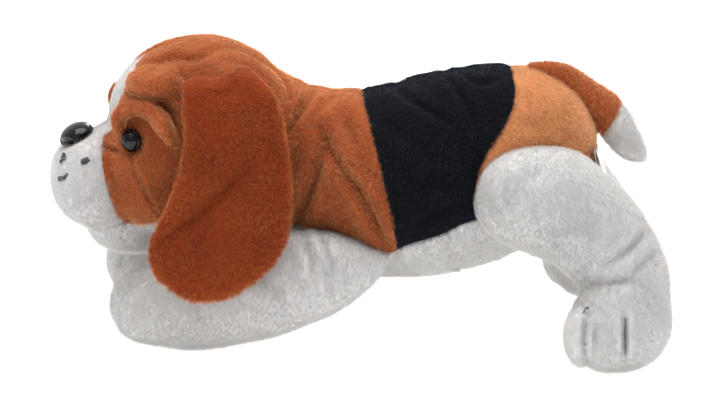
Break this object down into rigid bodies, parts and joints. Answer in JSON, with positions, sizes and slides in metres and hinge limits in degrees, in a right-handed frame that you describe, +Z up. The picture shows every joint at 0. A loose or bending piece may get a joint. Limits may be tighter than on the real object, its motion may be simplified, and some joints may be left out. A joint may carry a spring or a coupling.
{
  "type": "interactive plush puppy",
  "caption": "Soft plush puppy lying with front legs stretched out and head up, with long hanging ears and a squeeze voice module inside its belly.",
  "frame": {"origin": "on the floor under the middle of the bounding box", "axes": "+X from nose to tail, +Y to the puppy's right, +Z up"},
  "size_m": [0.3396, 0.218, 0.1666],
  "materials": {
    "tan_plush": "short soft pile, warm tan with lighter tips",
    "black_plush": "short soft pile, black with a cool sheen",
    "white_plush": "short soft pile, cool white",
    "stuffing": "loose polyester fibre",
    "label_ribbon": "white satin ribbon with plain thin stripes",
    "fastening_tape": "woven hook and loop tape",
    "gloss_black": "glossy moulded black",
    "nylon": "natural nylon",
    "case_plastic": "satin moulded white",
    "board": "green solder mask",
    "speaker_frame": "dark moulded frame",
    "steel": "plated steel"
  },
  "bodies": {
    "torso": {"shoulder_panel": "tan_plush", "saddle_panel": "black_plush", "rump_panel": "tan_plush", "belly_panel": "white_plush", "pocket_facing": "white_plush", "torso_filling": "stuffing", "sewn_label": "label_ribbon", "loop_tape": "fastening_tape", "module_case_lower": "case_plastic", "module_case_upper": "case_plastic", "battery_door": "case_plastic", "battery_door_screw": "steel", "case_screw_1": "steel", "case_screw_2": "steel", "battery_contact_lower": "steel", "battery_contact_upper": "steel", "button_cell_1": "steel", "button_cell_2": "steel", "button_cell_3": "steel", "circuit_board": "board", "speaker": "speaker_frame", "button_spring": "steel"},
    "flap": {"pocket_flap": "white_plush", "hook_tape": "fastening_tape"},
    "button": {"press_button": "case_plastic"},
    "neck": {"neck_gusset": "tan_plush", "neck_filling": "stuffing"},
    "head": {"head_panel": "tan_plush", "blaze_panel": "white_plush", "muzzle_panel": "white_plush", "chin_panel": "white_plush", "head_filling": "stuffing", "eye_left": "gloss_black", "eye_right": "gloss_black", "eye_washer_left": "nylon", "eye_washer_right": "nylon", "nose": "gloss_black", "nose_washer": "nylon"},
    "ear_left": {"ear_left_outer": "tan_plush", "ear_left_lining": "tan_plush"},
    "ear_right": {"ear_right_outer": "tan_plush", "ear_right_lining": "tan_plush"},
    "tail": {"tail_base": "tan_plush", "tail_tip": "white_plush", "tail_filling": "stuffing"},
    "front_leg_left": {"front_leg_left_skin": "white_plush", "front_leg_left_filling": "stuffing"},
    "front_leg_right": {"front_leg_right_skin": "white_plush", "front_leg_right_filling": "stuffing"},
    "hind_leg_left": {"hind_leg_left_skin": "white_plush", "hind_leg_left_filling": "stuffing"},
    "hind_leg_right": {"hind_leg_right_skin": "white_plush", "hind_leg_right_filling": "stuffing"}
  },
  "joints": [
    {"name": "neck_turn", "type": "hinge", "parent": "torso", "child": "neck", "pos_m": [-0.05023, 0, 0.096], "axis": [0, 0, 1], "range_deg": [-11, 5], "stiffness_Nm_per_rad": 2},
    {"name": "head_nod", "type": "hinge", "parent": "neck", "child": "head", "pos_m": [-0.05023, 0, 0.096], "axis": [-0.1564, 0.9877, 0], "range_deg": [-2, 10], "stiffness_Nm_per_rad": 3},
    {"name": "ear_left_swing", "type": "hinge", "parent": "head", "child": "ear_left", "pos_m": [-0.06554, -0.04394, 0.152], "axis": [-0.9877, -0.1564, 0], "range_deg": [0, 60]},
    {"name": "ear_right_swing", "type": "hinge", "parent": "head", "child": "ear_right", "pos_m": [-0.07837, 0.03705, 0.152], "axis": [0.9877, 0.1564, 0], "range_deg": [0, 55]},
    {"name": "front_leg_left_swing", "type": "hinge", "parent": "torso", "child": "front_leg_left", "pos_m": [-0.01023, -0.046, 0.04], "axis": [0, 1, 0], "range_deg": [-20, 3], "stiffness_Nm_per_rad": 2},
    {"name": "front_leg_right_swing", "type": "hinge", "parent": "torso", "child": "front_leg_right", "pos_m": [-0.02223, 0.046, 0.04], "axis": [0, 1, 0], "range_deg": [-20, 3], "stiffness_Nm_per_rad": 2},
    {"name": "hind_leg_left_swing", "type": "hinge", "parent": "torso", "child": "hind_leg_left", "pos_m": [0.10577, -0.05, 0.082], "axis": [0, 1, 0], "range_deg": [-30, 10], "stiffness_Nm_per_rad": 3},
    {"name": "hind_leg_right_swing", "type": "hinge", "parent": "torso", "child": "hind_leg_right", "pos_m": [0.10577, 0.05, 0.082], "axis": [0, 1, 0], "range_deg": [-30, 10], "stiffness_Nm_per_rad": 3},
    {"name": "tail_wag", "type": "hinge", "parent": "torso", "child": "tail", "pos_m": [0.10577, 0, 0.142], "axis": [0, 0, 1], "range_deg": [-25, 25], "stiffness_Nm_per_rad": 0.1},
    {"name": "button_press", "type": "slide", "parent": "torso", "child": "button", "axis": [0, 0, -1], "range_m": [0, 0.0015], "stiffness_N_per_m": 400, "springref_m": -0.001, "deforming": ["button_spring"]},
    {"name": "flap_hinge", "type": "hinge", "parent": "torso", "child": "flap", "pos_m": [0.03177, -0.021, 0.0316], "axis": [-1, 0, 0], "range_deg": [0, 100]}
  ]
}
